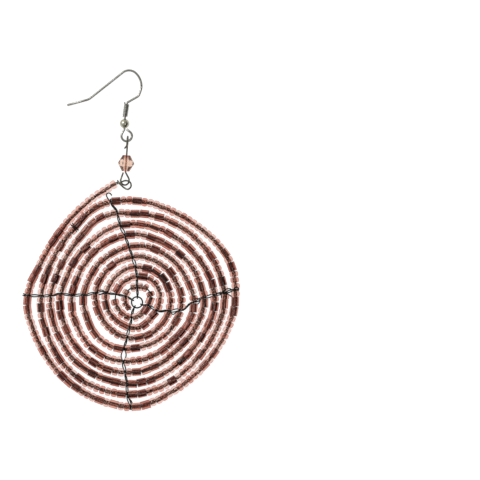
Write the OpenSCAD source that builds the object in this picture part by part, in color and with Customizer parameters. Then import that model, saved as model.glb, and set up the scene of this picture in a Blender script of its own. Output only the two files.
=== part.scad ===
// Dangle earring of seed beads, lying flat with its hook to the back.
// A wire of beads is coiled into a disc, and four twisted wire spokes tie its turns to a small hub ring.
// X is to the right and Y towards the hook, so the disc faces up, along Z.

/* [Bead disc] */
// Diameter of the string of beads
bead_d = 2.65; // [2.45:0.05:2.65]
// Diameter of the string where a spoke ties it, between two beads
neck_d = 0.7; // [0.6:0.05:0.75]
// Diameter of the wire that the beads are strung on
string_wire_d = 0.5; // [0.4:0.05:0.5]
// Width of the gap between two beads where a spoke passes
tie_gap = 0.9; // [0.85:0.05:1]
// Distance between the middles of two rings of the string's surface
ring_step = 4; // [3.5:0.5:5]

/* [Spokes] */
// Diameter of each of a spoke's two twisted strands
strand_d = 0.35; // [0.25:0.05:0.35]
// Distance of each strand from the spoke's middle, between two turns
strand_spread = 0.31; // [0.27:0.01:0.32]
// Middle diameter of the hub ring
hub_ring_d = 3.3; // [3.1:0.1:3.4]
// Wire diameter of the hub ring
hub_wire_d = 0.45; // [0.35:0.05:0.5]

/* [Ear hook] */
// Wire diameter of the ear hook
hook_wire_d = 0.7; // [0.6:0.05:0.75]
// Diameter of the drilled ball
ball_d = 2.8; // [2.6:0.1:3]
// Wire diameter of the small coil
coil_wire_d = 0.4; // [0.3:0.05:0.4]
// Number of turns of the small coil
coil_turns = 9; // [7:1:9]

/* [Link] */
// Wire diameter of the link
link_wire_d = 0.5; // [0.4:0.05:0.5]
// Width of the crystal bead over its corners
crystal_d = 5.3; // [5.1:0.1:5.4]
// Length of the crystal bead
crystal_len = 4.8; // [4.5:0.1:5]
// Width of the flat table at each end of the crystal bead
crystal_table_d = 2.4; // [2:0.1:2.6]

/* [Hidden] */

// Moves the whole so that its box is centred on the origin
centring = [0.137, -0.26, 0];

// Small clearance between wires that pass each other
clear = 0.1;

// Centre that the bead string is charted from, and how high the disc's middle lies
hub = [1.6, -18];
disc_z = bead_d / 2;

// Distance from the hub to the string's middle, charted by hand as the string lies.
// Each row is one turn, from the innermost. Each column is one of 16 clock directions, from the top.
// The first row is the part turn that the string starts with, and the last two finish the curve at its end.
CHART = [
    [2.5, 2.5, 2.5, 2.5, 2.5, 2.5, 2.5, 2.5, 2.5, 2.9, 3.35, 3.45, 3.7, 3.9, 4.1, 4.2],
    [4.1, 4.6, 4.7, 4.5, 3.8, 3.55, 3.6, 4.1, 4.8, 5.4, 5.7, 6.15, 6.5, 6.7, 6.9, 7.1],
    [7.3, 7.5, 7.5, 7.3, 6.8, 6.7, 6.6, 7.3, 8.2, 8.3, 8.5, 8.95, 9.4, 9.5, 9.7, 10.0],
    [10.2, 10.3, 10.3, 10.1, 10.1, 10.1, 10.2, 10.5, 11.1, 11.5, 11.5, 11.75, 12.4, 12.7, 12.8, 13.1],
    [13.4, 13.2, 13.2, 13.1, 13.4, 13.1, 13.2, 13.4, 14.1, 15.3, 15.9, 15.8, 16.1, 15.8, 16.0, 16.2],
    [16.5, 16.4, 16.35, 16.2, 17.0, 16.7, 16.1, 16.8, 17.9, 19.0, 19.5, 19.5, 19.7, 19.2, 19.4, 19.8],
    [19.9, 19.2, 19.15, 19.5, 20.1, 19.3, 18.9, 19.8, 21.2, 22.3, 22.8, 22.9, 23.1, 22.2, 22.2, 23.1],
    [23.1, 22.4, 22.3, 22.8, 23.4, 22.4, 22.0, 23.1, 24.7, 25.4, 25.8, 25.8, 26.0, 25.1, 25.4, 27.2],
    [26.2, 25.9, 25.8, 26.1, 26.3, 25.2, 25.0, 26.3, 27.9, 28.7, 29.1, 28.8, 28.8, 28.2, 28.55, 30.8],
    [30.1, 28.9, 29.1, 30.3, 29.5, 28.2, 28.0, 29.1, 31.7, 31.8, 31.9, 32.1, 33.0, 31.05, 31.35, 33.7],
    [37.9, 42.0]
];
DIRECTIONS = 16;

// The string runs clockwise outward. Its place along the coil is counted in turns, with 0 at the top.
first_turn = -1;
wire_start = -0.4;
string_start = -0.385;
string_end = 8.972;
// Radius of the string's first end, where its beads are smaller, as a share of the string's diameter
first_bead = 0.34;

// Each spoke: the turn of its first tie, its clock direction at every tie from there outward,
// its direction at the hub ring, which strand is above at the ring, and how far the two strands
// part between one tie and the next, charted by hand as a share of strand_spread
SPOKE_TOP = [
    0, [0, 0, -2.5, -6, -8.5, -10.5, -12.5, -12.5, -15], 4, 1,
    [0.7, 0.7, 0.7, 1.2, 0.7, 0.8, 1.2, 0.8, 0.7]
];
SPOKE_RIGHT = [
    0, [111, 116, 107, 102, 91, 87, 85.5, 84.5, 83.5], 117, -1,
    [0.8, 0.9, 0.7, 1.4, 0.7, 1, 1.2, 1.1, 1]
];
SPOKE_BOTTOM = [
    0, [198, 196, 195, 195, 193, 189.5, 187, 186, 183.5], 208, 1,
    [0.7, 0.7, 1, 0.7, 2.4, 1.2, 0.7, 0.9, 1.1]
];
SPOKE_LEFT = [
    -1, [292, 287.5, 284.5, 281, 276.5, 275, 275.5, 273.5, 273, 273], 298, -1,
    [0.7, 0.7, 0.7, 1.3, 1, 1, 0.8, 0.7, 1, 1]
];
SPOKES = [SPOKE_TOP, SPOKE_RIGHT, SPOKE_BOTTOM, SPOKE_LEFT];

// How each spoke's two strands end past the last tie: distance outward, to the right, and up
END_TOP = [
    [
        [0.7, -0.35, 0.5], [1.3, -0.6, 0.4], [2.0, -0.75, 0.4], [2.55, -0.55, 0.5],
        [2.7, 0, 0.6], [2.4, 0.5, 0.5], [1.75, 0.8, 0.3]
    ],
    [[0.5, 0.1, -0.5], [0.9, 0.15, -0.35]]
];
END_RIGHT = [[[0.5, 0.1, 0.45], [0.8, 0.2, 0.2]], [[0.5, -0.1, -0.5], [0.75, -0.2, -0.3]]];
END_BOTTOM = [[[0.5, -0.1, 0.45], [0.85, -0.2, 0.2]], [[0.5, 0.1, -0.5], [0.8, 0.2, -0.3]]];
END_LEFT = [[[0.7, 0.15, 0.45], [1.4, 0.3, 0.15]], [[0.7, -0.15, -0.45], [1.5, -0.3, -0.1]]];

// Hub ring, a little below the centre of the chart
hub_ring_at = [1.6, -18.4];

// Ear hook, as the wire runs from its free end: X, Y and the radius of the bend there
HOOK_ROUTE = [
    [-19.4, 40.8, 0], [-12.9, 42.55, 3], [-0.65, 52.3, 3], [2.9, 48.7, 5.6], [2.9, 45.75, 5],
    [2.05, 43.5, 1.2], [-1.46, 41.5, 0.7], [-2.05, 37.2, 2], [-2.2, 33.5, 0.6]
];
// Length of the straight tail
tail_len = 6;
// Lower loop of the ear hook: its centre, its radius, and where its cut end meets the ball
hook_loop_at = [-1.48, 31.48];
hook_loop_r = 1.58;
hook_wire_end = [-1.5, 33.5];
// Centre of the drilled ball, and how the hook leans from it down to its bow and its tail
ball_at = [-2.13, 35.22];
hook_lean = [-3.8, -2.1, 0];

// Link, seen along its own axis: the origin is the centre of its upper loop
link_at = [-1.2, 29.87];
link_turn = 3.9;
link_z = crystal_d / 2 * cos(180 / 8);
link_upper_r = 1.45;
link_lower_r = 1.4;
link_lower_tilt = 28;
crystal_from_loop = 6.6;
link_neck = 9.27;
link_lower_at = 11.72;

// Bare end of the string wire: X, Y and Z of its points, from the last bead round the link's lower loop
END_ROUTE = [
    [-4.5, 17.55, 1.325], [-4.1, 17.5, 1.3], [-3.3, 16.9, 1.25], [-2.3, 16.0, 1.3],
    [-1.2, 15.5, 1.7], [-0.35, 16.05, 2.15], [-0.15, 16.9, 2.4], [-0.6, 17.75, 2.45],
    [-1.8, 18.1, 2.45], [-3.0, 17.7, 2.45], [-3.75, 17.3, 2.1], [-4.15, 17.7, 1.9]
];

// Facets: round the bead string, round each thin wire, and round each true circle
string_sides = 8;
wire_sides = 6;
bent_sides = 8;
bend_step = 18;
round_sides = 32;
arc_sides = 96;

// Plain vector helpers
function unit(v) = v / norm(v);
function flat(v) = [v[0], v[1]];
function mix(a, b, f) = a + (b - a) * f;
function turned(v) = [-v[1], v[0]];

// Smooth curve through four values, from the second to the third
function smooth(a, b, c, d, f) =
    b + 0.5 * f * ((c - a) + f * ((2 * a - 5 * b + 4 * c - d) + f * (3 * (b - c) + d - a)));

// Where the string lies, at any number of turns
function charted(i) = CHART[floor(i / DIRECTIONS)][i - DIRECTIONS * floor(i / DIRECTIONS)];
function string_r(t) =
    let (s = (t - first_turn) * DIRECTIONS, i = floor(s))
    smooth(charted(i - 1), charted(i), charted(i + 1), charted(i + 2), s - i);
function string_at(t) = hub + string_r(t) * [sin(360 * t), cos(360 * t)];
function turns_in(length, t) = length / (2 * PI * string_r(t));
function outward_at(t) = turned(unit(string_at(t + 0.002) - string_at(t - 0.002)));

// Ties in the order that the string meets them
function spoke_ties(spoke) = [for (i = [0:len(spoke[1]) - 1]) spoke[0] + i + spoke[1][i] / 360];
function all_ties(i) = [for (s = [0:3]) for (t = spoke_ties(SPOKES[s])) if (floor(t + 0.06) == i) t];
function sorted(v) =
    len(v) < 2 ? v :
    let (p = v[0], rest = [for (i = [1:len(v) - 1]) v[i]])
    concat(sorted([for (x = rest) if (x < p) x]), [p], sorted([for (x = rest) if (x >= p) x]));
TIES = [for (i = [first_turn:9]) each sorted(all_ties(i))];
STOPS = concat([string_start], [for (t = TIES) if (t < string_end - 0.005) t], [string_end]);

// Rings of the string's surface: turns along the coil, and radius.
// Each tie is a narrow neck between two beads.
function neck_half(r) = tie_gap / 2 + 0.9 * (r - neck_d / 2);
function stop_rings(i) =
    let (t = STOPS[i], thin = turns_in(neck_half(neck_d / 2), t), wide = turns_in(neck_half(bead_d / 2), t))
    [[t - wide, bead_d / 2], [t - thin, neck_d / 2], [t + thin, neck_d / 2], [t + wide, bead_d / 2]];
function stretch_rings(a, b, r) =
    let (n = ceil(abs(b - a) * max(2 * PI * string_r((a + b) / 2) / ring_step, DIRECTIONS)))
    [for (i = [1:1:n - 1]) [mix(a, b, i / n), mix(r, bead_d / 2, i / n)]];
function string_rings() =
    let (last = len(STOPS) - 1)
    concat(
        [for (f = [0, 0.5, 1]) [mix(wire_start, string_start, f), string_wire_d / 2]],
        [[string_start + 0.002, bead_d * first_bead]],
        [for (i = [1:last]) each concat(
            stretch_rings(
                i == 1 ? STOPS[0] : stop_rings(i - 1)[3][0],
                i == last ? STOPS[last] : stop_rings(i)[0][0],
                i == 1 ? bead_d * first_bead : bead_d / 2
            ),
            i == last ? [] : stop_rings(i)
        )],
        [[string_end, bead_d / 2]]
    );

// Sweeps a round section of changing radius along points. Side is a direction that no stretch runs along.
module swept(points, radii, sides, side) {
    last = len(points) - 1;
    ways = [for (i = [0:last]) unit(points[min(i + 1, last)] - points[max(i - 1, 0)])];
    vertices = [for (i = [0:last])
        let (x = unit(cross(ways[i], side)), y = cross(ways[i], x))
        for (k = [0:sides - 1])
            points[i] + radii[i] * (cos(360 * k / sides) * x + sin(360 * k / sides) * y)];
    walls = [for (i = [0:last - 1]) for (k = [0:sides - 1])
        let (next = (k + 1) % sides)
        each [
            [i * sides + k, (i + 1) * sides + next, i * sides + next],
            [i * sides + k, (i + 1) * sides + k, (i + 1) * sides + next]
        ]];
    polyhedron(
        points = vertices,
        faces = concat(
            [[for (k = [0:sides - 1]) k]], walls, [[for (k = [sides - 1:-1:0]) last * sides + k]]
        ),
        convexity = 10
    );
}
module swept_wire(points, wire_d, side, sides = wire_sides) {
    swept(points, [for (p = points) wire_d / 2], sides, side);
}

// Points of a wire bent at its corners. Each corner is X, Y, Z and its bend radius.
function corner(route, i) = [route[i][0], route[i][1], route[i][2]];
function bent(route) =
    let (last = len(route) - 1)
    concat(
        [corner(route, 0)],
        [for (i = [1:last - 1])
            let (
                a = unit(corner(route, i) - corner(route, i - 1)),
                b = unit(corner(route, i + 1) - corner(route, i)),
                angle = acos(a * b),
                radius = route[i][3],
                steps = ceil(angle / bend_step),
                start = corner(route, i) - a * radius * tan(angle / 2),
                inward = unit(b - a * cos(angle))
            )
            for (k = [0:steps])
                let (turn = angle * k / steps)
                start + radius * (sin(turn) * a + (1 - cos(turn)) * inward)],
        [corner(route, last)]
    );
function spaced(points) =
    [for (i = [0:len(points) - 1]) if (i == 0 || norm(points[i] - points[i - 1]) > 0.02) points[i]];

// Corner points of a loop from one point round a circle to another, turning left (1) or right (-1)
function loop_corners(centre, r, from, to, turn, corners) =
    let (
        a = from - centre,
        b = to - centre,
        start = atan2(a[1], a[0]) + turn * acos(r / norm(a)),
        stop = atan2(b[1], b[0]) - turn * acos(r / norm(b)),
        sweep = turn * (stop - start) - 360 * floor(turn * (stop - start) / 360)
    )
    [for (i = [0:corners - 1])
        let (at = start + turn * sweep * (i + 0.5) / corners)
        centre + r / cos(sweep / corners / 2) * [cos(at), sin(at)]];

// The hook's own frame: it lies on its ball and leans down to its bow and tail
module on_ball() {
    translate(centring + [ball_at[0], ball_at[1], ball_d / 2])
        rotate(hook_lean)
            translate([-ball_at[0], -ball_at[1], 0])
                children();
}
module ear_hook() {
    shank_end = flat(HOOK_ROUTE[len(HOOK_ROUTE) - 1]);
    corners = loop_corners(hook_loop_at, hook_loop_r, shank_end, hook_wire_end, 1, 3);
    points = spaced(bent(concat(
        [for (p = HOOK_ROUTE) [p[0], p[1], 0, p[2]]],
        [for (p = corners) [p[0], p[1], 0, hook_loop_r]],
        [[hook_wire_end[0], hook_wire_end[1], 0, 0]]
    )));
    last = len(points) - 1;
    tail = unit(points[1] - points[0]);
    color("#77776c")
        on_ball() {
            translate(points[0])
                rotate([0, 90, atan2(tail[1], tail[0])])
                    cylinder(h = tail_len, d = hook_wire_d, $fn = round_sides);
            swept(
                concat(
                    [points[0] + tail * (tail_len - 0.4), points[0] + tail * (tail_len + 0.05)],
                    [for (i = [1:last]) points[i]]
                ),
                concat([hook_wire_d * 0.3, hook_wire_d * 0.4], [for (i = [1:last]) hook_wire_d / 2]),
                bent_sides,
                [0, 0, 1]
            );
        }
}

// Coil of thin wire round the shank, with its upper end standing off
module hook_coil() {
    last = len(HOOK_ROUTE) - 1;
    top = flat(HOOK_ROUTE[last - 2]);
    foot = flat(HOOK_ROUTE[last - 1]);
    down = unit(foot - top);
    right = [-down[1], down[0]];
    r = hook_wire_d / 2 + clear / 2 + coil_wire_d / 2;
    pitch = coil_wire_d + 0.01;
    steps = 10;
    start = 0.45;
    turns = [for (i = [0:coil_turns * steps]) i / steps];
    helix = [for (n = turns)
        let (p = top + down * (start + pitch * n) - right * r * cos(360 * n))
        [p[0], p[1], r * sin(360 * n)]];
    tip = top + down * (start - 0.55) - right * (r + 0.1);
    color("#77776c")
        on_ball()
            swept_wire(
                concat([[tip[0], tip[1], 0.1 - coil_wire_d]], helix),
                coil_wire_d,
                [down[0], down[1], 0]
            );
}

module hook_ball() {
    color("#8a8a80")
        on_ball()
            difference() {
                translate([ball_at[0], ball_at[1], 0])
                    sphere(d = ball_d, $fn = arc_sides);
                shank_hole(hook_wire_d + clear);
            }
}
// The hole runs along the shank's last straight stretch
module shank_hole(d) {
    last = len(HOOK_ROUTE) - 1;
    a = flat(HOOK_ROUTE[last - 1]);
    b = flat(HOOK_ROUTE[last]);
    way = unit(b - a);
    translate([a[0] - way[0], a[1] - way[1], 0])
        rotate([0, 90, atan2(way[1], way[0])])
            cylinder(h = norm(b - a) + 2, d = d, $fn = round_sides);
}

// The link's own frame: X runs down the link, Y to the right as seen from above, Z up
module on_link() {
    translate(centring + [link_at[0], link_at[1], link_z])
        rotate([0, 0, -90 - link_turn])
            children();
}
module link_wire() {
    side = link_wire_d + clear;
    upper = link_upper_r;
    neck_gap = 0.35;
    lower_end = [link_neck + 0.15, -0.72];
    lower = loop_corners([link_lower_at, 0], link_lower_r, [link_neck, 0], lower_end, -1, 3);
    color("#6b6b60")
        on_link()
            swept_wire(
                spaced(bent(concat(
                    [
                        [upper + 0.75, -0.75, 0.5, 0], [upper, -0.15, side + neck_gap, 0.1],
                        [upper, -0.1, upper, 0.4], [-upper, -0.05, upper, upper - 0.05],
                        [-upper, 0, -upper, upper - 0.05], [upper, 0, -upper, upper - 0.5],
                        [upper, 0, 0, 0.4], [link_neck, 0, 0, 0.4]
                    ],
                    [for (p = lower) tilted(p, link_lower_r)],
                    [tilted(lower_end, 0)]
                ))),
                link_wire_d,
                [0, 0.8, 0.6],
                bent_sides
            );
}
function tilted(p, bend_r) =
    [p[0], p[1] * cos(link_lower_tilt), -p[1] * sin(link_lower_tilt), bend_r];

module crystal_bead() {
    half = crystal_len / 2;
    color("#e9b49f")
        on_link()
            translate([crystal_from_loop, 0, 0])
                rotate([0, 90, 0])
                    difference() {
                        rotate([0, 0, 180 / 8]) {
                            cylinder(h = half, d1 = crystal_d, d2 = crystal_table_d, $fn = 8);
                            mirror([0, 0, 1])
                                cylinder(h = half, d1 = crystal_d, d2 = crystal_table_d, $fn = 8);
                        }
                        translate([0, 0, -half - 1])
                            cylinder(h = crystal_len + 2, d = link_wire_d + 2 * clear, $fn = round_sides);
                    }
}

// Bare end of the string wire, rounded between its points
function rounded(route, steps) =
    let (last = len(route) - 1)
    concat(
        [for (i = [0:last - 1]) for (k = [0:steps - 1])
            smooth(route[max(i - 1, 0)], route[i], route[i + 1], route[min(i + 2, last)], k / steps)],
        [route[last]]
    );
module end_loop() {
    color("#4a4a42")
        translate(centring)
            swept_wire(rounded(END_ROUTE, 4), string_wire_d, [0, 0, 1]);
}

module bead_string() {
    rings = string_rings();
    color("#c98476")
        translate(centring)
            swept(
                [for (r = rings) let (p = string_at(r[0])) [p[0], p[1], disc_z]],
                [for (r = rings) r[1]],
                string_sides,
                [0, 0, 1]
            );
}

module hub_ring() {
    color("#3c423c")
        translate(centring + [hub_ring_at[0], hub_ring_at[1], disc_z])
            rotate_extrude($fn = arc_sides)
                translate([hub_ring_d / 2, 0])
                    circle(d = hub_wire_d, $fn = round_sides);
}

// Spoke: two strands from one wire, folded round the hub ring, crossing at every tie
function spoke_nodes(spoke) =
    concat(
        [hub_ring_at + hub_ring_d / 2 * [sin(spoke[2]), cos(spoke[2])]],
        [for (t = spoke_ties(spoke)) string_at(t)]
    );
// The spoke crosses the ring and every turn squarely, between two beads
function spoke_ways(spoke) =
    concat([[sin(spoke[2]), cos(spoke[2])]], [for (t = spoke_ties(spoke)) outward_at(t)]);
function crossing(p, q, way_p, way_q, f) =
    let (span = norm(q - p))
    p * (1 + f * f * (2 * f - 3)) + q * f * f * (3 - 2 * f)
        + span * (way_p * f * (1 - f) * (1 - f) - way_q * f * f * (1 - f));
// Half the distance between the strands, one above the other, at the ring or at a tie
ring_half = hub_wire_d / 2 + strand_d / 2 + clear;
tie_half = neck_d / 2 + strand_d / 2 + clear;
function half_at(i) = i == 0 ? ring_half : tie_half;
// The strands spread less where a spoke's stretch is shorter than this
full_span = 3;
function strand(spoke, ends, which) =
    let (
        at = spoke_nodes(spoke),
        ways = spoke_ways(spoke),
        last = len(at) - 1,
        sign = which * spoke[3],
        steps = 5,
        out = ways[last],
        right = -turned(out),
        over = sign * (last % 2 == 0 ? 1 : -1)
    )
    concat(
        [for (i = [0:last - 1]) for (k = [0:steps - 1])
            let (
                f = k / steps,
                open = spoke[4][i] * min(norm(at[i + 1] - at[i]) / full_span, 1),
                aside = sign * strand_spread * open * sin(180 * (i + f)),
                p = crossing(at[i], at[i + 1], ways[i], ways[i + 1], f)
                    + aside * turned(unit(mix(ways[i], ways[i + 1], f)))
            )
            [p[0], p[1], disc_z + sign * mix(half_at(i), half_at(i + 1), f) * cos(180 * (i + f))]],
        [[at[last][0], at[last][1], disc_z + over * tie_half]],
        [for (e = over > 0 ? ends[0] : ends[1])
            let (p = at[last] + out * e[0] + right * e[1])
            [p[0], p[1], disc_z + e[2]]]
    );
function reversed(v) = [for (i = [len(v) - 1:-1:0]) v[i]];
module spoke(chart, ends) {
    at = spoke_nodes(chart);
    inward = -spoke_ways(chart)[0];
    fold = [for (a = [36:36:144])
        [
            at[0][0] + inward[0] * ring_half * sin(a),
            at[0][1] + inward[1] * ring_half * sin(a),
            disc_z + chart[3] * ring_half * cos(a)
        ]];
    over = strand(chart, ends, 1);
    under = strand(chart, ends, -1);
    side = turned(unit(at[len(at) - 1] - at[0]));
    color("#3c423c")
        translate(centring)
            swept_wire(concat(reversed(over), fold, under), strand_d, [side[0], side[1], 0]);
}
module spoke_top() {
    spoke(SPOKE_TOP, END_TOP);
}
module spoke_right() {
    spoke(SPOKE_RIGHT, END_RIGHT);
}
module spoke_bottom() {
    spoke(SPOKE_BOTTOM, END_BOTTOM);
}
module spoke_left() {
    spoke(SPOKE_LEFT, END_LEFT);
}

ear_hook();
hook_coil();
hook_ball();
link_wire();
crystal_bead();
end_loop();
bead_string();
hub_ring();
spoke_top();
spoke_right();
spoke_bottom();
spoke_left();
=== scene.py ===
import math
import random

import bmesh
import bpy
from mathutils import Matrix, Vector


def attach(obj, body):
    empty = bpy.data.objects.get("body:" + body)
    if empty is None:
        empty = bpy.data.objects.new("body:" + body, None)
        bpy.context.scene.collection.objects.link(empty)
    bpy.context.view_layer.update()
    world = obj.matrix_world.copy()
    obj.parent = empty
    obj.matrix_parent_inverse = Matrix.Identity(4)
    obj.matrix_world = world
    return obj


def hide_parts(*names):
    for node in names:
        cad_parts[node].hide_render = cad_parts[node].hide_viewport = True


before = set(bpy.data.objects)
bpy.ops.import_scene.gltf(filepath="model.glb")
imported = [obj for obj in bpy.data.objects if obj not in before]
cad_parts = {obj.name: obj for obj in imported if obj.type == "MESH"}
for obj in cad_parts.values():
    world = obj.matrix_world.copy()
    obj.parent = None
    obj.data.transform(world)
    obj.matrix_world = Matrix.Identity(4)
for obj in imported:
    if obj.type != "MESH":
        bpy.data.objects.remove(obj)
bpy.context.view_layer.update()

RANDOM = random.Random(7)
MM = 0.001
UP = Vector((0, 0, 1))


# Sizes and routes of the model's source, in millimetres

# From the source's chart to the frame, whose origin is the middle of the part's box
CENTRING = Vector((0.137, -0.26, 0.0))
# The seed beads' diameter, the first one's radius in shares of it, and the string's neck at a tie
BEAD_D = 2.65
FIRST_BEAD = 0.34
NECK_D = 0.7
# The spokes' strands, how far they part, and the span from which they part in full
STRAND_D = 0.35
STRAND_SPREAD = 0.31
FULL_SPAN = 3.0
# Rings, wires, ball and crystal, the gap between pieces, and where the disc is
HUB_RING_D = 3.3
HUB_WIRE_D = 0.45
STRING_WIRE_D = 0.5
HOOK_WIRE_D = 0.7
BALL_D = 2.8
COIL_WIRE_D = 0.4
COIL_TURNS = 9
LINK_WIRE_D = 0.5
CRYSTAL_D = 5.3
CRYSTAL_LEN = 4.8
CRYSTAL_SIDES = 8
CLEAR = 0.1
HUB = Vector((1.6, -18.0))
HUB_RING_AT = Vector((1.6, -18.4))
DISC_Z = BEAD_D / 2

# Distance from the hub to the string's middle. A row is one turn, a column one of 16 clock directions.
CHART = [
    [2.5, 2.5, 2.5, 2.5, 2.5, 2.5, 2.5, 2.5, 2.5, 2.9, 3.35, 3.45, 3.7, 3.9, 4.1, 4.2],
    [4.1, 4.6, 4.7, 4.5, 3.8, 3.55, 3.6, 4.1, 4.8, 5.4, 5.7, 6.15, 6.5, 6.7, 6.9, 7.1],
    [7.3, 7.5, 7.5, 7.3, 6.8, 6.7, 6.6, 7.3, 8.2, 8.3, 8.5, 8.95, 9.4, 9.5, 9.7, 10.0],
    [10.2, 10.3, 10.3, 10.1, 10.1, 10.1, 10.2, 10.5, 11.1, 11.5, 11.5, 11.75, 12.4, 12.7, 12.8, 13.1],
    [13.4, 13.2, 13.2, 13.1, 13.4, 13.1, 13.2, 13.4, 14.1, 15.3, 15.9, 15.8, 16.1, 15.8, 16.0, 16.2],
    [16.5, 16.4, 16.35, 16.2, 17.0, 16.7, 16.1, 16.8, 17.9, 19.0, 19.5, 19.5, 19.7, 19.2, 19.4, 19.8],
    [19.9, 19.2, 19.15, 19.5, 20.1, 19.3, 18.9, 19.8, 21.2, 22.3, 22.8, 22.9, 23.1, 22.2, 22.2, 23.1],
    [23.1, 22.4, 22.3, 22.8, 23.4, 22.4, 22.0, 23.1, 24.7, 25.4, 25.8, 25.8, 26.0, 25.1, 25.4, 27.2],
    [26.2, 25.9, 25.8, 26.1, 26.3, 25.2, 25.0, 26.3, 27.9, 28.7, 29.1, 28.8, 28.8, 28.2, 28.55, 30.8],
    [30.1, 28.9, 29.1, 30.3, 29.5, 28.2, 28.0, 29.1, 31.7, 31.8, 31.9, 32.1, 33.0, 31.05, 31.35, 33.7],
    [37.9, 42.0],
]
RADII = [r for row in CHART for r in row]
DIRECTIONS = 16
# The turn of the chart's first row, and where the string's wire and its beads begin and both end, in turns
FIRST_TURN = -1
WIRE_START = -0.4
STRING_START = -0.385
STRING_END = 8.972
# How far ahead and behind, in turns, the string's direction is taken, for a tie and for a bead
TIE_NEAR = 0.002
BEAD_NEAR = 0.001

# Each spoke: the turn of its first tie, the clock directions of its ties and of its place on the hub ring,
# which strand is above there, and how far the strands part between one tie and the next
SPOKES = {
    "spoke_top": {
        "first": 0,
        "clock": (0, 0, -2.5, -6, -8.5, -10.5, -12.5, -12.5, -15),
        "ring_clock": 4,
        "above": 1,
        "parting": (0.7, 0.7, 0.7, 1.2, 0.7, 0.8, 1.2, 0.8, 0.7),
    },
    "spoke_right": {
        "first": 0,
        "clock": (111, 116, 107, 102, 91, 87, 85.5, 84.5, 83.5),
        "ring_clock": 117,
        "above": -1,
        "parting": (0.8, 0.9, 0.7, 1.4, 0.7, 1, 1.2, 1.1, 1),
    },
    "spoke_bottom": {
        "first": 0,
        "clock": (198, 196, 195, 195, 193, 189.5, 187, 186, 183.5),
        "ring_clock": 208,
        "above": 1,
        "parting": (0.7, 0.7, 1, 0.7, 2.4, 1.2, 0.7, 0.9, 1.1),
    },
    "spoke_left": {
        "first": -1,
        "clock": (292, 287.5, 284.5, 281, 276.5, 275, 275.5, 273.5, 273, 273),
        "ring_clock": 298,
        "above": -1,
        "parting": (0.7, 0.7, 0.7, 1.3, 1, 1, 0.8, 0.7, 1, 1),
    },
}
# How the two strands of each spoke end: distance outward, to the right, and up
SPOKE_ENDS = {
    "spoke_top": (
        ((0.7, -0.35, 0.5), (1.3, -0.6, 0.4), (2.0, -0.75, 0.4), (2.55, -0.55, 0.5),
         (2.7, 0, 0.6), (2.4, 0.5, 0.5), (1.75, 0.8, 0.3)),
        ((0.5, 0.1, -0.5), (0.9, 0.15, -0.35)),
    ),
    "spoke_right": (((0.5, 0.1, 0.45), (0.8, 0.2, 0.2)), ((0.5, -0.1, -0.5), (0.75, -0.2, -0.3))),
    "spoke_bottom": (((0.5, -0.1, 0.45), (0.85, -0.2, 0.2)), ((0.5, 0.1, -0.5), (0.8, 0.2, -0.3))),
    "spoke_left": (((0.7, 0.15, 0.45), (1.4, 0.3, 0.15)), ((0.7, -0.15, -0.45), (1.5, -0.3, -0.1))),
}

# Loose ends and small loops of the spokes' wire, charted
LOOSE_ENDS = {
    "spoke_right": (
        ((18.8, -17.5, 2.3), (19.6, -17.2, 2.5), (20.4, -17.5, 2.4), (20.35, -18.3, 2.2),
         (19.75, -19.0, 2.1)),
        ((26.7, -15.4, 2.3), (26.85, -16.2, 2.45), (26.95, -17.1, 2.4)),
        ((26.7, -15.9, 2.4), (27.6, -14.9, 2.85), (28.7, -14.3, 2.75), (29.75, -14.4, 2.6),
         (29.75, -15.1, 2.5), (28.7, -15.6, 2.8), (27.0, -15.75, 2.85), (25.2, -15.6, 2.85)),
        ((28.6, -15.8, 2.0), (29.5, -16.3, 2.1), (29.95, -16.7, 2.0)),
        ((30.2, -15.0, 2.75), (30.8, -14.2, 2.9), (31.6, -13.9, 2.85), (32.15, -14.3, 2.7),
         (31.9, -15.0, 2.5)),
        ((11.2, -20.7, 1.95), (11.9, -21.6, 2.55), (12.5, -22.0, 2.3), (13.2, -21.5, 2.4),
         (14.3, -20.7, 2.0)),
    ),
    "spoke_bottom": (
        ((-1.3, -46.2, 2.2), (-1.1, -46.8, 2.5), (-0.15, -47.9, 2.2), (0.2, -48.6, 2.3)),
    ),
    "spoke_left": (
        ((-8.1, -15.2, 2.1), (-8.9, -14.7, 2.3), (-10.0, -14.9, 2.3), (-10.6, -15.4, 2.1)),
        ((-8.2, -15.5, 2.1), (-8.9, -15.8, 2.3), (-9.65, -16.2, 2.4)),
    ),
}

# The hook's wire in the plane of its bends, each corner with its bend radius
HOOK_ROUTE = [
    (-19.4, 40.8, 0), (-12.9, 42.55, 3), (-0.65, 52.3, 3), (2.9, 48.7, 5.6), (2.9, 45.75, 5),
    (2.05, 43.5, 1.2), (-1.46, 41.5, 0.7), (-2.05, 37.2, 2), (-2.2, 33.5, 0.6),
]
# The hook's lower loop, where its wire ends beside the shank, and the ball
HOOK_LOOP_AT = Vector((-1.48, 31.48))
HOOK_LOOP_R = 1.58
HOOK_WIRE_END = Vector((-1.5, 33.5))
BALL_AT = Vector((-2.13, 35.22))
# How the hook's plane leans about X and about Y, in degrees
HOOK_LEAN = (-3.8, -2.1)
# The link's upper eye, its turn from straight down, and its height, with the crystal on one of its sides
LINK_AT = Vector((-1.2, 29.87))
LINK_TURN = 3.9
LINK_Z = CRYSTAL_D / 2 * math.cos(math.radians(180 / CRYSTAL_SIDES))
# The radii of the link's eyes, and how the lower one is tilted about the wire, in degrees
LINK_UPPER_R = 1.45
LINK_LOWER_R = 1.4
LINK_LOWER_TILT = 28
# Along the link from its upper eye: the crystal's middle, the neck under it, and the lower eye's middle
CRYSTAL_FROM_LOOP = 6.6
LINK_NECK = 9.27
LINK_LOWER_AT = 11.72
CRYSTAL_Y = LINK_AT[1] - CRYSTAL_FROM_LOOP + CENTRING[1]
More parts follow.
